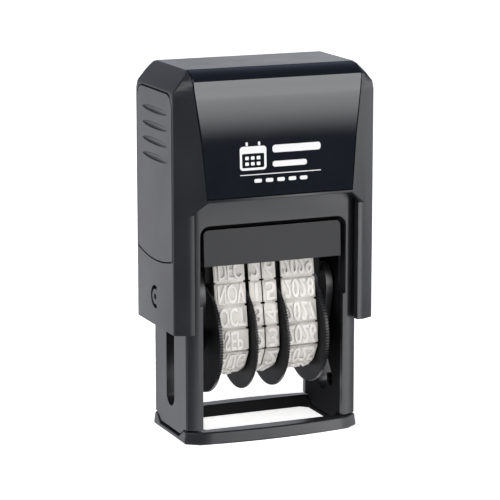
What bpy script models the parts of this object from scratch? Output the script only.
"""Self-inking rotary date stamp, in metres, +Z up, with its front towards -Y.

A cap slides down over a fixed base. It carries a carriage, which turns half a turn on its way down
and brings the type from the ink cartridge at the top to the paper at the bottom.
"""

import math

import bmesh
import bpy
from mathutils import Matrix, Vector

# Travel of the cap and the axes that everything else follows.
TRAVEL = 0.0214
PIVOT_Z = 0.0306
WHEEL_Z = 0.0208
TYPE_Z = 0.03975
CAM_PIN_ARM = 0.0042
FIT = 0.0003

# Cap, as levels: height, half width, half depth of the side face, half width and half depth of the front.
CAP_HALF_WIDTH = 0.0230
CAP_SIDE_DEPTH = 0.01085
CAP_EDGE = 0.0004
CAP_LEVELS = (
    (0.0244, CAP_HALF_WIDTH, CAP_SIDE_DEPTH, 0.0202, 0.01225),
    (0.0500, CAP_HALF_WIDTH, CAP_SIDE_DEPTH, 0.0202, 0.01225),
    (0.0528, CAP_HALF_WIDTH, CAP_SIDE_DEPTH, 0.0165, 0.01410),
    (0.0650, CAP_HALF_WIDTH, CAP_SIDE_DEPTH, 0.0175, 0.01360),
    (0.0742, CAP_HALF_WIDTH, CAP_SIDE_DEPTH, 0.0187, 0.01300),
    (0.0758, 0.0227, 0.01080, 0.0189, 0.01285),
    (0.0778, 0.0211, 0.01055, 0.01905, 0.0126),
    (0.0789, 0.0201, 0.01010, 0.01905, 0.0119),
    (0.0796, 0.0195, 0.00940, 0.0190, 0.0106),
    (0.0800, 0.0191, 0.00840, 0.0188, 0.0086),
)
CURVE_START = 0.0742
CURVE_STEPS = 3
CAVITY_LEVELS = (
    (0.0235, 0.0200, 0.0101, 0.0174, 0.0107),
    (0.0512, 0.0200, 0.0101, 0.0174, 0.0107),
    (0.0540, 0.0200, 0.0101, 0.0160, 0.0116),
    (0.0752, 0.0200, 0.0100, 0.0170, 0.0110),
    (0.0776, 0.0186, 0.0096, 0.0168, 0.0105),
)
WINDOW_LEVELS = 2
WINDOW_START = 0.0006
WINDOW_GAP = 0.00015
WINDOW_THICKNESS = 0.0006
WINDOW_RECESS = 0.0013
CARD_DEPTHS = (0.00075, 0.0010)
CARD_MARGIN = 0.0010
CAP_BOTTOM = CAP_LEVELS[0][0]
CAP_CEILING = CAVITY_LEVELS[-1][0]
OPENING_HALF = 0.0188
OPENING_TOP = 0.0527
OPENING_CORNER = (0.0024, 0.0022)
SNAP_INNER = 0.00165
SNAP_OUTER = 0.0025
SNAP_HALF_ANGLE = math.radians(115)
PIN_WALL = 0.0011
PIN_HOLE_RADIUS = 0.00065
GRIP_THICKNESS = 0.0009
GRIP_GAP = 0.0003
GRIP_BOTTOM = 0.0388
GRIP_TOP = 0.0750
GRIP_HALF = 0.0101
GRIP_CORNER = 0.0030
GRIP_SAG = 0.0014
GROOVE_HALF = (0.0006, 0.0076, 0.0007)
GROOVE_MIDDLE = -0.0005
GROOVE_TOP = 0.0708
GROOVE_PITCH = 0.00335
GROOVES = 4

# Base and its foot.
BASE_HALF_WIDTH = 0.01965
BASE_SIDE_DEPTH = 0.0093
BASE_FRONT_HALF = 0.0171
BASE_FRONT_DEPTH = 0.0104
BASE_INNER = 0.0162
BASE_TOP = 0.0554
BASE_TOP_CORNER = (0.0018, 0.0028)
BRIDGE_BOTTOM = 0.0380
LEG_BOTTOM = 0.0012
LEG_STEP = 0.0030
SLOT_HALF = 0.00235
SLOT_BOTTOM = 0.0063
SLOT_TOP = 0.0332
CAM_DEPTH = 0.01775
CAM_HALF = 0.00115
POCKET = (0.0172, 0.0080, 0.0472)
FOOT_HALF = (0.0201, 0.0114)
FOOT_CORNER = (0.0028, 0.0020)
FOOT_BOW = 0.0012
FOOT_DRAFT = 0.0003
FOOT_HEIGHT = 0.0027
FOOT_OPENING = (0.0162, 0.0089)
FOOT_GUSSET = 0.0014
FOOT_NOTCH = (0.0052, 0.0080)

# Ink cartridge.
TRAY_HALF = 0.0153
TRAY_BACK = 0.0083
TRAY_BOTTOM = 0.0399
TRAY_TOP = 0.0456
TRAY_WALL = 0.0012
BAY_GAP = 0.0004
RAIL_TOP = 0.0396
RAIL_INNER = 0.0143
PLATE_HALF = 0.0158
PLATE_BOTTOM = 0.0383
PLATE_TOP = 0.0461
PLATE_CORNER = 0.0011
PLATE_FRONT = -0.0097
PLATE_BACK = -0.0083
PLATE_LEAN = 0.0004
PLATE_GAP = 0.0010
FELT_HALF = (0.0138, 0.0072)
FELT_BOTTOM = 0.0400

# Carriage and the parts it carries.
ARM_INNER = 0.0140
ARM_OUTER = 0.0156
ARM_PIVOT_RADIUS = 0.0066
ARM_AXLE_RADIUS = 0.0042
PIN_RADIUS = 0.0020
PIN_TIP_RADIUS = 0.0008
CAM_PIN_RADIUS = 0.0008
AXLE_RADIUS = 0.00135
DISC_RADIUS = 0.01195
DRUM_RADIUS = 0.0073
BAND_THICKNESS = 0.0009
BAND_DRUM_RADIUS = 0.0085
NOSE_RADIUS = 0.0012
NOSE_FRONT = -0.0044
NOSE_BACK = -0.0008
ANVIL_HALF = 0.0136
ANVIL_BOTTOM = 0.0333
TONGUE_END = 0.0152
TEXT_HALF = 0.0128

# Pieces that run across the carriage, as their lower and upper (Y, Z) corners.
TONGUE = ((-0.0038, 0.0340), (-0.0014, 0.0360))
YOKE_BAR = ((0.0037, 0.0335), (0.0062, 0.0357))
TEXT_HOLDER = ((0.0022, 0.0360), (0.0062, 0.0383))
TEXT_PLATE = ((0.0015, 0.0386), (0.0061, TYPE_Z))

# Each wheel: the disc's outer and inner side and the drum's far end along X, then the band's two sides.
WHEELS = {
    "month": (-0.0129, -0.0121, -0.0048, -0.0119, -0.00475),
    "tens": (-0.0045, -0.0040, -0.0010, -0.00385, -0.00105),
    "units": (0.0033, 0.0027, -0.0007, -0.00075, 0.0024),
    "year": (0.01245, 0.01165, 0.0035, 0.0036, 0.01145),
}

SPRING_POST = 0.0045
SPRING_POST_RADIUS = 0.0031
SPRING_RADIUS = 0.0042
SPRING_WIRE = 0.00032
SPRING_TURNS = 9
SPRING_POINTS = 10

COLOURS = {
    "body_black": ((0.030, 0.030, 0.032, 1.0), 0.38, 0.0),
    "gloss_black": ((0.010, 0.011, 0.014, 1.0), 0.06, 0.0),
    "card_black": ((0.012, 0.014, 0.018, 1.0), 0.6, 0.0),
    "wheel_black": ((0.018, 0.018, 0.019, 1.0), 0.45, 0.0),
    "band_ivory": ((0.74, 0.72, 0.68, 1.0), 0.6, 0.0),
    "rubber_grey": ((0.20, 0.20, 0.21, 1.0), 0.7, 0.0),
    "felt_ink": ((0.006, 0.006, 0.010, 1.0), 0.95, 0.0),
    "steel": ((0.60, 0.60, 0.61, 1.0), 0.28, 1.0),
}


def clear_scene():
    for obj in list(bpy.data.objects):
        bpy.data.objects.remove(obj, do_unlink=True)


def make_collection(name):
    collection = bpy.data.collections.new(name)
    bpy.context.scene.collection.children.link(collection)
    return collection


def make_material(name):
    colour, roughness, metallic = COLOURS[name]
    material = bpy.data.materials.new(name)
    material.use_nodes = True
    shader = material.node_tree.nodes["Principled BSDF"]
    shader.inputs["Base Color"].default_value = colour
    shader.inputs["Roughness"].default_value = roughness
    shader.inputs["Metallic"].default_value = metallic
    return material


clear_scene()
STAMP = make_collection("rotary_date_stamp")
CUTTERS = make_collection("cutters")
MATERIALS = {name: make_material(name) for name in COLOURS}


def add_object(name, mesh, material):
    """A node when it has a material, and otherwise a cutter or a shape that is joined to a node."""
    obj = bpy.data.objects.new(name, mesh)
    if material is None:
        CUTTERS.objects.link(obj)
        obj.hide_render = True
        obj.display_type = "WIRE"
        return obj
    obj.data.materials.append(MATERIALS[material])
    STAMP.objects.link(obj)
    return obj


def mesh_from(name, form, material):
    bmesh.ops.recalc_face_normals(form, faces=form.faces)
    mesh = bpy.data.meshes.new(name)
    form.to_mesh(mesh)
    form.free()
    return add_object(name, mesh, material)


def box(name, low, high, material=None):
    form = bmesh.new()
    bmesh.ops.create_cube(form, size=1.0)
    size = Vector(high) - Vector(low)
    bmesh.ops.scale(form, vec=size, verts=form.verts)
    bmesh.ops.translate(form, vec=Vector(low) + size / 2, verts=form.verts)
    return mesh_from(name, form, material)


def rod_x(name, radius, start, end, centre, material=None, segments=24):
    """A cylinder along X, whose centre line is at centre, a (Y, Z) pair."""
    form = bmesh.new()
    turn = Matrix.Rotation(math.pi / 2, 4, "Y")
    move = Matrix.Translation(((start + end) / 2, centre[0], centre[1]))
    bmesh.ops.create_cone(
        form,
        cap_ends=True,
        segments=segments,
        radius1=radius,
        radius2=radius,
        depth=end - start,
        matrix=move @ turn,
    )
    return mesh_from(name, form, material)


def prism(name, outline, start, end, axis, material=None):
    """A flat outline extruded along X, Y or Z. The outline is in (Y, Z), (X, Z) or (X, Y)."""
    curve = bpy.data.curves.new(name, "CURVE")
    curve.dimensions = "2D"
    curve.fill_mode = "BOTH"
    curve.extrude = abs(end - start) / 2
    spline = curve.splines.new("POLY")
    spline.points.add(len(outline) - 1)
    for point, (across, up) in zip(spline.points, outline):
        point.co = (across, up, 0.0, 1.0)
    spline.use_cyclic_u = True
    flat = bpy.data.objects.new(name + "_outline", curve)
    bpy.context.scene.collection.objects.link(flat)
    graph = bpy.context.evaluated_depsgraph_get()
    mesh = bpy.data.meshes.new_from_object(flat.evaluated_get(graph))
    bpy.data.objects.remove(flat, do_unlink=True)
    form = bmesh.new()
    form.from_mesh(mesh)
    bmesh.ops.remove_doubles(form, verts=form.verts, dist=0.000001)
    middle = (start + end) / 2
    turns = {
        "X": Matrix.Rotation(math.pi / 2, 4, "Z") @ Matrix.Rotation(math.pi / 2, 4, "X"),
        "Y": Matrix.Rotation(math.pi / 2, 4, "X"),
        "Z": Matrix.Identity(4),
    }
    moves = {"X": (middle, 0, 0), "Y": (0, middle, 0), "Z": (0, 0, middle)}
    bmesh.ops.transform(form, matrix=Matrix.Translation(moves[axis]) @ turns[axis], verts=form.verts)
    return mesh_from(name, form, material)


def loft(name, rings, material=None):
    """A closed body through rings that all have the same number of points."""
    form = bmesh.new()
    levels = [[form.verts.new(point) for point in ring] for ring in rings]
    count = len(rings[0])
    for lower, upper in zip(levels, levels[1:]):
        for i in range(count):
            j = (i + 1) % count
            form.faces.new((lower[i], lower[j], upper[j], upper[i]))
    form.faces.new(levels[0])
    form.faces.new(levels[-1])
    return mesh_from(name, form, material)


def turned_x(name, profile, centre, material, steps):
    """(X, radius) points turned about the X axis through centre, a (Y, Z) pair.

    The profile closes on itself, unless both of its ends lie on the axis.
    """
    closing = zip(profile, profile[1:] + profile[:1])
    if sum(x0 * r1 - x1 * r0 for (x0, r0), (x1, r1) in closing) < 0.0:
        profile = profile[::-1]
    mesh = bpy.data.meshes.new(name)
    points = [(along, 0.0, radius) for along, radius in profile]
    edges = [(i, i + 1) for i in range(len(points) - 1)]
    if profile[0][1] > 0.0:
        edges.append((len(points) - 1, 0))
    mesh.from_pydata(points, edges, [])
    obj = add_object(name, mesh, material)
    obj.location = (0.0, centre[0], centre[1])
    screw = obj.modifiers.new("turn", "SCREW")
    screw.axis = "X"
    screw.steps = steps
    screw.render_steps = steps
    screw.use_merge_vertices = True
    screw.merge_threshold = 0.00001
    screw.use_smooth_shade = False
    return obj


def bevel(obj, width, segments=2, angle=30):
    modifier = obj.modifiers.new("bevel", "BEVEL")
    modifier.width = width
    modifier.segments = segments
    modifier.limit_method = "ANGLE"
    modifier.angle_limit = math.radians(angle)


def boolean(obj, other, operation):
    modifier = obj.modifiers.new(other.name, "BOOLEAN")
    modifier.operation = operation
    modifier.solver = "EXACT"
    modifier.object = other


def cut(obj, cutter):
    boolean(obj, cutter, "DIFFERENCE")


def join(obj, other):
    boolean(obj, other, "UNION")


def arc(centre, radius, start, end, count):
    """Points on a circle, from one angle to another."""
    angles = [start + (end - start) * i / count for i in range(count + 1)]
    return [(centre[0] + radius * math.cos(a), centre[1] + radius * math.sin(a)) for a in angles]


def wrap(circles, count):
    """The outline of a belt drawn tight round circles, (centre, radius) in anticlockwise order."""
    outline = []
    normals = []
    for (first, first_radius), (second, second_radius) in zip(circles, circles[1:] + circles[:1]):
        along = Vector(second) - Vector(first)
        lean = math.acos((first_radius - second_radius) / along.length)
        normals.append(math.atan2(along.y, along.x) - lean)
    for i, (centre, radius) in enumerate(circles):
        start = normals[i - 1]
        turn = (normals[i] - start) % (2 * math.pi)
        steps = max(2, round(count * turn / (2 * math.pi)))
        outline += arc(centre, radius, start, start + turn, steps)
    return outline


def chamfered(half_x, half_y, corner_x, corner_y):
    """A rectangle whose four corners are cut off."""
    quarter = [(half_x, half_y - corner_y), (half_x - corner_x, half_y)]
    left = [(-x, y) for x, y in reversed(quarter)]
    top = quarter + left
    return top + [(-x, -y) for x, y in top]


def bowed(half_x, half_y, corner_x, corner_y, bow, steps=12):
    """A rectangle whose corners are cut off, and whose front and back bulge by the bow in the middle."""
    flat = half_x - corner_x
    back = [(half_x, half_y - corner_y)]
    for i in range(steps + 1):
        place = 1 - 2 * i / steps
        back.append((flat * place, half_y + bow * (1 - place ** 2)))
    back.append((-half_x, half_y - corner_y))
    return back + [(-x, -y) for x, y in back]


def round_topped(half_width, bottom, top, radius):
    """A rectangle with rounded upper corners."""
    right = arc((half_width - radius, top - radius), radius, 0.0, math.pi / 2, 4)
    outline = [(half_width, bottom)] + right
    return outline + [(-x, z) for x, z in reversed(outline)]


def slot_outline(bottom, top, half_width, count=8):
    ends = arc((0.0, top - half_width), half_width, 0.0, math.pi, count)
    return ends + arc((0.0, bottom + half_width), half_width, math.pi, 2 * math.pi, count)


def level_ring(level):
    """The outline at one level. The edges beside the side faces are cut off a little."""
    height, half_width, side_depth, front_half, front_depth = level
    slope = Vector((front_half - half_width, front_depth - side_depth))
    slope *= min(0.5, CAP_EDGE / slope.length)
    quarter = [(half_width, side_depth - CAP_EDGE), (half_width + slope.x, side_depth + slope.y)]
    quarter.append((front_half, front_depth))
    top = quarter + [(-x, y) for x, y in reversed(quarter)]
    return [(x, y, height) for x, y in top + [(-x, -y) for x, y in top]]


def fine_levels(levels):
    """The levels with more between them where the cap curves, so that twisted faces stay smooth."""
    fine = []
    for lower, upper in zip(levels, levels[1:]):
        steps = CURVE_STEPS if lower[0] >= CURVE_START else 1
        for i in range(steps):
            fine.append([a + (b - a) * i / steps for a, b in zip(lower, upper)])
    return fine + [levels[-1]]


def front_strip(name, outer, inner, grow, material=None):
    """A strip that follows the cap's front face from the opening up over the top edge, grown all round."""
    levels = CAP_LEVELS[WINDOW_LEVELS:]
    profile = [Vector((-level[4], level[0])) for level in levels]
    widths = [level[3] + grow for level in levels]
    profile[0] += Vector((0.0, WINDOW_START))
    tangents = [(after - before).normalized() for before, after in zip(profile, profile[1:])]
    profile[0] -= tangents[0] * grow
    profile[-1] += tangents[-1] * grow
    rings = []
    for i, (point, half) in enumerate(zip(profile, widths)):
        before = tangents[max(0, i - 1)]
        after = tangents[min(i, len(tangents) - 1)]
        tangent = (before + after).normalized()
        normal = Vector((-tangent.y, tangent.x))
        front = point + normal * outer
        back = point + normal * inner
        rings.append([(-half, *front), (half, *front), (half, *back), (-half, *back)])
    return loft(name, rings, material)


def build_cap():
    cap = loft("cap_shell", [level_ring(level) for level in fine_levels(CAP_LEVELS)], "body_black")
    cut(cap, loft("cap_cavity", [level_ring(level) for level in CAVITY_LEVELS]))
    corner_x, corner_z = OPENING_CORNER
    right = [(OPENING_HALF, CAP_BOTTOM - 0.001), (OPENING_HALF, OPENING_TOP - corner_z)]
    right.append((OPENING_HALF - corner_x, OPENING_TOP))
    opening = right + [(-x, z) for x, z in reversed(right)]
    cut(cap, prism("cap_opening", opening, -0.016, 0.016, "Y"))
    cut(cap, front_strip("window_recess", 0.0010, -WINDOW_RECESS, WINDOW_GAP))
    snap = arc((0.0, PIVOT_Z), SNAP_OUTER, -SNAP_HALF_ANGLE, SNAP_HALF_ANGLE, 20)
    snap += arc((0.0, PIVOT_Z), SNAP_INNER, SNAP_HALF_ANGLE, -SNAP_HALF_ANGLE, 20)
    cut(cap, prism("cap_snap_slot", snap, -0.024, 0.024, "X"))
    bore_end = CAP_HALF_WIDTH - PIN_WALL
    cut(cap, rod_x("cap_pin_bore", PIN_TIP_RADIUS + FIT, -bore_end, bore_end, (0.0, PIVOT_Z)))
    cut(cap, rod_x("cap_pin_hole", PIN_HOLE_RADIUS, -0.024, 0.024, (0.0, PIVOT_Z), segments=16))
    for side, name in ((-1, "left"), (1, "right")):
        cut(cap, grip_prism("grip_recess_" + name, side, GRIP_GAP, GRIP_THICKNESS + FIT, 0.001))
    join(cap, post_z("cap_post", CAP_CEILING - SPRING_POST, CAP_CEILING + 0.0005))
    return cap


def post_z(name, bottom, top):
    """A round post on the spring's centre line."""
    radius = SPRING_POST_RADIUS
    form = bmesh.new()
    bmesh.ops.create_cone(
        form,
        cap_ends=True,
        segments=24,
        radius1=radius,
        radius2=radius,
        depth=top - bottom,
        matrix=Matrix.Translation((0, 0, (top + bottom) / 2)),
    )
    return mesh_from(name, form, None)


def grip_outline(grow):
    """The side panel: a sagging lower edge, and upper corners that round in."""
    half = GRIP_HALF + grow
    steps = 10
    outline = []
    for i in range(steps + 1):
        across = -half + 2 * half * i / steps
        sag = GRIP_SAG * (across / half) ** 2
        outline.append((across, GRIP_BOTTOM - grow + sag))
    corner = GRIP_CORNER + grow
    centre_y = half - corner
    centre_z = GRIP_TOP + grow - corner
    outline += arc((centre_y, centre_z), corner, 0.0, math.pi / 2, 8)
    outline += arc((-centre_y, centre_z), corner, math.pi / 2, math.pi, 8)
    return outline


def grip_prism(name, side, grow, depth, proud, material=None):
    inner = CAP_HALF_WIDTH - depth
    ends = sorted((side * inner, side * (CAP_HALF_WIDTH + proud)))
    return prism(name, grip_outline(grow), ends[0], ends[1], "X", material)


def build_grips():
    panels = []
    for side, name in ((-1, "left"), (1, "right")):
        panel = grip_prism("grip_panel_" + name, side, 0.0, GRIP_THICKNESS, 0.0, "body_black")
        for i in range(GROOVES):
            height = GROOVE_TOP - i * GROOVE_PITCH
            form = bmesh.new()
            bmesh.ops.create_uvsphere(form, u_segments=16, v_segments=8, radius=1.0)
            bmesh.ops.scale(form, vec=GROOVE_HALF, verts=form.verts)
            place = (side * (CAP_HALF_WIDTH + 0.0001), GROOVE_MIDDLE, height)
            bmesh.ops.translate(form, vec=place, verts=form.verts)
            cut(panel, mesh_from(f"grip_groove_{name}_{i}", form, None))
        panels.append(panel)
    return panels


def build_window():
    window = front_strip("label_window", 0.0, -WINDOW_THICKNESS, 0.0, "gloss_black")
    card_front, card_back = CARD_DEPTHS
    card = front_strip("label_card", -card_front, -card_back, -CARD_MARGIN, "card_black")
    return [window, card]


def cam_outline():
    """The groove that the cam pin follows while the cap sinks and the carriage turns."""
    steps = 18
    path = []
    for i in range(steps + 1):
        turn = math.pi * i / steps
        sink = TRAVEL * i / steps
        path.append(Vector((CAM_PIN_ARM * math.cos(turn), PIVOT_Z - sink - CAM_PIN_ARM * math.sin(turn))))
    left = []
    right = []
    for i, point in enumerate(path):
        tangent = (path[min(i + 1, steps)] - path[max(i - 1, 0)]).normalized()
        normal = Vector((-tangent.y, tangent.x)) * CAM_HALF
        left.append(tuple(point + normal))
        right.append(tuple(point - normal))
    first = (path[1] - path[0]).normalized()
    last = (path[-1] - path[-2]).normalized()
    start_angle = math.atan2(first.y, first.x)
    end_angle = math.atan2(last.y, last.x)
    end_cap = arc(path[-1], CAM_HALF, end_angle + math.pi / 2, end_angle - math.pi / 2, 6)[1:-1]
    start_cap = arc(path[0], CAM_HALF, start_angle - math.pi / 2, start_angle - math.pi * 3 / 2, 6)[1:-1]
    return left + end_cap + right[::-1] + start_cap


def build_base():
    chamfer = (BASE_HALF_WIDTH - BASE_FRONT_HALF, BASE_FRONT_DEPTH - BASE_SIDE_DEPTH)
    plan = chamfered(BASE_HALF_WIDTH, BASE_FRONT_DEPTH, *chamfer)
    base = prism("base_frame", plan, LEG_BOTTOM, BASE_TOP, "Z", "body_black")
    bevel(base, 0.0003, 1, 40)
    cut(base, box("base_window", (-BASE_INNER, -0.02, -0.001), (BASE_INNER, 0.02, BRIDGE_BOTTOM)))
    inner, outer = FOOT_NOTCH
    for side, name in ((-1, "front"), (1, "back")):
        notch = [(side * inner, -0.001), (side * inner, LEG_BOTTOM), (side * outer, LEG_STEP)]
        notch += [(side * 0.02, LEG_STEP), (side * 0.02, -0.001)]
        cut(base, prism("leg_notch_" + name, notch, -0.03, 0.03, "X"))
    corner_x, corner_z = BASE_TOP_CORNER
    for side, name in ((-1, "left"), (1, "right")):
        corner = [(side * (BASE_HALF_WIDTH - corner_x), BASE_TOP + 0.001), (side * 0.03, BASE_TOP + 0.001)]
        corner += [(side * 0.03, BASE_TOP - corner_z), (side * BASE_HALF_WIDTH, BASE_TOP - corner_z)]
        corner += [(side * (BASE_HALF_WIDTH - corner_x), BASE_TOP)]
        cut(base, prism("base_corner_" + name, corner, -0.02, 0.02, "Y"))
    cut(base, prism("pivot_slot", slot_outline(SLOT_BOTTOM, SLOT_TOP, SLOT_HALF), -0.03, 0.03, "X"))
    cut(base, prism("cam_groove", cam_outline(), -CAM_DEPTH, CAM_DEPTH, "X"))
    bay_half = TRAY_HALF + BAY_GAP
    bay_back = TRAY_BACK + BAY_GAP
    cut(base, box("bay", (-bay_half, -0.02, RAIL_TOP), (bay_half, bay_back, TRAY_TOP + BAY_GAP)))
    below_top = (RAIL_INNER, bay_back, RAIL_TOP + 0.001)
    cut(base, box("bay_below", (-RAIL_INNER, -0.02, 0.03), below_top))
    gap = PLATE_GAP
    recess = round_topped(PLATE_HALF + gap, 0.03, PLATE_TOP + gap, PLATE_CORNER + gap)
    cut(base, prism("plate_recess", recess, -0.02, PLATE_BACK + BAY_GAP, "Y"))
    half_x, half_y, floor = POCKET
    cut(base, box("spring_pocket", (-half_x, -half_y, floor), (half_x, half_y, BASE_TOP + 0.001)))
    join(base, post_z("spring_boss", floor - 0.0005, floor + SPRING_POST))
    return base


def build_foot():
    rings = []
    for height, inset in ((0.0, 0.0), (FOOT_HEIGHT, FOOT_DRAFT)):
        plan = bowed(FOOT_HALF[0] - inset, FOOT_HALF[1] - inset, *FOOT_CORNER, FOOT_BOW)
        rings.append([(x, y, height) for x, y in plan])
    foot = loft("foot_frame", rings, "body_black")
    bevel(foot, 0.0003, 2, 40)
    opening = chamfered(*FOOT_OPENING, FOOT_GUSSET, FOOT_GUSSET)
    cut(foot, prism("foot_opening", opening, -0.001, 0.004, "Z"))
    inner, outer = FOOT_NOTCH
    inner += FIT
    outer += FIT
    low = LEG_BOTTOM - FIT
    notch = [(-outer, LEG_STEP), (-inner, low), (inner, low), (outer, LEG_STEP)]
    cut(foot, prism("foot_side_notch", notch, -0.03, 0.03, "X"))
    return foot


def build_cartridge():
    tray_low = (-TRAY_HALF, PLATE_BACK - 0.0002, TRAY_BOTTOM)
    tray = box("ink_tray", tray_low, (TRAY_HALF, TRAY_BACK, TRAY_TOP), "body_black")
    join(tray, leaning_plate("tray_plate", round_topped(PLATE_HALF, PLATE_BOTTOM, PLATE_TOP, PLATE_CORNER)))
    hollow_half = FELT_HALF[0] + FIT
    hollow_low = (-hollow_half, -FELT_HALF[1] - FIT, TRAY_BOTTOM - 0.001)
    hollow_top = TRAY_TOP - TRAY_WALL
    cut(tray, box("tray_hollow", hollow_low, (hollow_half, FELT_HALF[1] + FIT, hollow_top)))
    felt_high = (*FELT_HALF, hollow_top - FIT)
    felt = box("ink_felt", (-FELT_HALF[0], -FELT_HALF[1], FELT_BOTTOM), felt_high, "felt_ink")
    return [tray, felt]


def leaning_plate(name, outline):
    """The cartridge's front plate, whose lower edge leans forward."""
    plate = prism(name, outline, PLATE_FRONT, PLATE_BACK, "Y")
    for vertex in plate.data.vertices:
        if vertex.co.y < (PLATE_FRONT + PLATE_BACK) / 2:
            vertex.co.y -= PLATE_LEAN * (PLATE_TOP - vertex.co.z) / (PLATE_TOP - PLATE_BOTTOM)
    return plate


def build_carriage():
    arms = wrap([((0.0, PIVOT_Z), ARM_PIVOT_RADIUS), ((0.0, WHEEL_Z), ARM_AXLE_RADIUS)], 40)
    yoke = prism("carriage_yoke", arms, ARM_INNER, ARM_OUTER, "X", "wheel_black")
    join(yoke, prism("yoke_left_arm", arms, -ARM_OUTER, -ARM_INNER, "X"))
    bar_low, bar_high = YOKE_BAR
    bar_end = ARM_INNER + 0.0008
    join(yoke, box("yoke_bar", (-bar_end, *bar_low), (bar_end, *bar_high)))
    for side, name in ((-1, "left"), (1, "right")):
        ends = sorted((side * (ARM_OUTER - 0.001), side * (CAM_DEPTH - FIT)))
        place = (CAM_PIN_ARM, PIVOT_Z)
        join(yoke, rod_x("cam_pin_" + name, CAM_PIN_RADIUS, ends[0], ends[1], place, segments=16))
    cut(yoke, rod_x("pivot_bore", PIN_RADIUS + FIT, -0.02, 0.02, (0.0, PIVOT_Z), segments=32))
    cut(yoke, rod_x("axle_bore", AXLE_RADIUS + FIT, -0.02, 0.02, (0.0, WHEEL_Z)))
    tongue_low, tongue_high = TONGUE
    slot_low = (-TONGUE_END - FIT, tongue_low[0] - FIT, tongue_low[1] - FIT)
    slot_high = (TONGUE_END + FIT, tongue_high[0] + FIT, tongue_high[1] + FIT)
    cut(yoke, box("tongue_slot", slot_low, slot_high))

    anvil_low = (-ANVIL_HALF, NOSE_FRONT, ANVIL_BOTTOM)
    anvil_top = TYPE_Z - BAND_THICKNESS - FIT
    anvil = box("date_anvil", anvil_low, (ANVIL_HALF, NOSE_BACK, anvil_top), "wheel_black")
    bevel(anvil, 0.0003, 1, 40)
    join(anvil, box("anvil_tongue", (-TONGUE_END, *tongue_low), (TONGUE_END, *tongue_high)))

    holder_low, holder_high = TEXT_HOLDER
    holder = box("text_holder", (-ANVIL_HALF, *holder_low), (ANVIL_HALF, *holder_high), "wheel_black")
    plate_low, plate_high = TEXT_PLATE
    plate = box("text_plate", (-TEXT_HALF, *plate_low), (TEXT_HALF, *plate_high), "rubber_grey")
    bevel(plate, 0.0003, 1, 40)

    pins = [build_pin(side, name) for side, name in ((-1, "left"), (1, "right"))]
    axle = rod_x("wheel_axle", AXLE_RADIUS, -ARM_OUTER, ARM_OUTER, (0.0, WHEEL_Z), "steel")
    return [yoke, anvil, holder, plate, axle] + pins


def build_pin(side, name):
    """A stepped pin from the carriage through the base's slot into the cap's side wall."""
    shoulder = CAP_HALF_WIDTH - 0.0032
    tip = CAP_HALF_WIDTH - PIN_WALL - FIT
    profile = [(ARM_INNER + FIT, 0.0), (ARM_INNER + FIT, PIN_RADIUS), (shoulder, PIN_RADIUS)]
    profile += [(shoulder, PIN_TIP_RADIUS), (tip, PIN_TIP_RADIUS), (tip, 0.0)]
    profile = [(side * along, radius) for along, radius in profile]
    return turned_x("pivot_pin_" + name, profile, (0.0, PIVOT_Z), "steel", 24)


def build_wheel(name, outer, inner, far):
    """A setting wheel: a wide disc, a drum for the band, and a bore for the axle."""
    bore = AXLE_RADIUS + FIT
    profile = [(outer, bore), (outer, DISC_RADIUS), (inner, DISC_RADIUS), (inner, DRUM_RADIUS)]
    profile += [(far, DRUM_RADIUS), (far, bore)]
    return turned_x(name + "_wheel", profile, (0.0, WHEEL_Z), "wheel_black", 72)


def belt_circles(inset):
    """Where the date band bends: round the drum and over the two corners of the anvil's nose."""
    nose_z = TYPE_Z - NOSE_RADIUS
    drum = ((0.0, WHEEL_Z), BAND_DRUM_RADIUS - inset)
    back = ((NOSE_BACK, nose_z), NOSE_RADIUS - inset)
    front = ((NOSE_FRONT, nose_z), NOSE_RADIUS - inset)
    return [drum, back, front]


def build_band(name, left, right):
    band = prism(name + "_band", wrap(belt_circles(0.0), 48), left, right, "X", "band_ivory")
    hollow = wrap(belt_circles(BAND_THICKNESS), 48)
    cut(band, prism(name + "_band_hollow", hollow, left - 0.001, right + 0.001, "X"))
    return band


def build_spring():
    bottom = POCKET[2] + FIT + SPRING_WIRE
    top = CAP_CEILING - FIT - SPRING_WIRE
    curve = bpy.data.curves.new("return_spring", "CURVE")
    curve.dimensions = "3D"
    curve.bevel_depth = SPRING_WIRE
    curve.bevel_resolution = 1
    curve.use_fill_caps = True
    spline = curve.splines.new("POLY")
    count = SPRING_TURNS * SPRING_POINTS
    spline.points.add(count)
    for i, point in enumerate(spline.points):
        turn = 2 * math.pi * i / SPRING_POINTS
        height = bottom + (top - bottom) * i / count
        point.co = (SPRING_RADIUS * math.cos(turn), SPRING_RADIUS * math.sin(turn), height, 1.0)
    spring = bpy.data.objects.new("return_spring", curve)
    spring.data.materials.append(MATERIALS["steel"])
    STAMP.objects.link(spring)
    return spring


def hang_on(name, place, pieces, parent=None):
    """Parents pieces to an empty on their joint's axis, where they already stand."""
    empty = bpy.data.objects.new(name, None)
    STAMP.objects.link(empty)
    empty.location = place
    if parent is not None:
        empty.parent = parent
        empty.matrix_parent_inverse = Matrix.Translation(parent.location).inverted()
    for piece in pieces:
        piece.parent = empty
        piece.matrix_parent_inverse = Matrix.Translation(place).inverted()
    return empty


def build_stamp():
    build_base()
    build_foot()
    build_spring()
    cap = hang_on("cap_slide", (0.0, 0.0, 0.0), [build_cap(), *build_grips(), *build_window()])
    hang_on("cartridge_slide", (0.0, 0.0, 0.0), build_cartridge())
    bands = [build_band(name, left, right) for name, (_, _, _, left, right) in WHEELS.items()]
    carriage = hang_on("carriage_pivot", (0.0, 0.0, PIVOT_Z), build_carriage() + bands, cap)
    wheels = [build_wheel(name, outer, inner, far) for name, (outer, inner, far, _, _) in WHEELS.items()]
    hang_on("wheel_axis", (0.0, 0.0, WHEEL_Z), wheels, carriage)


build_stamp()
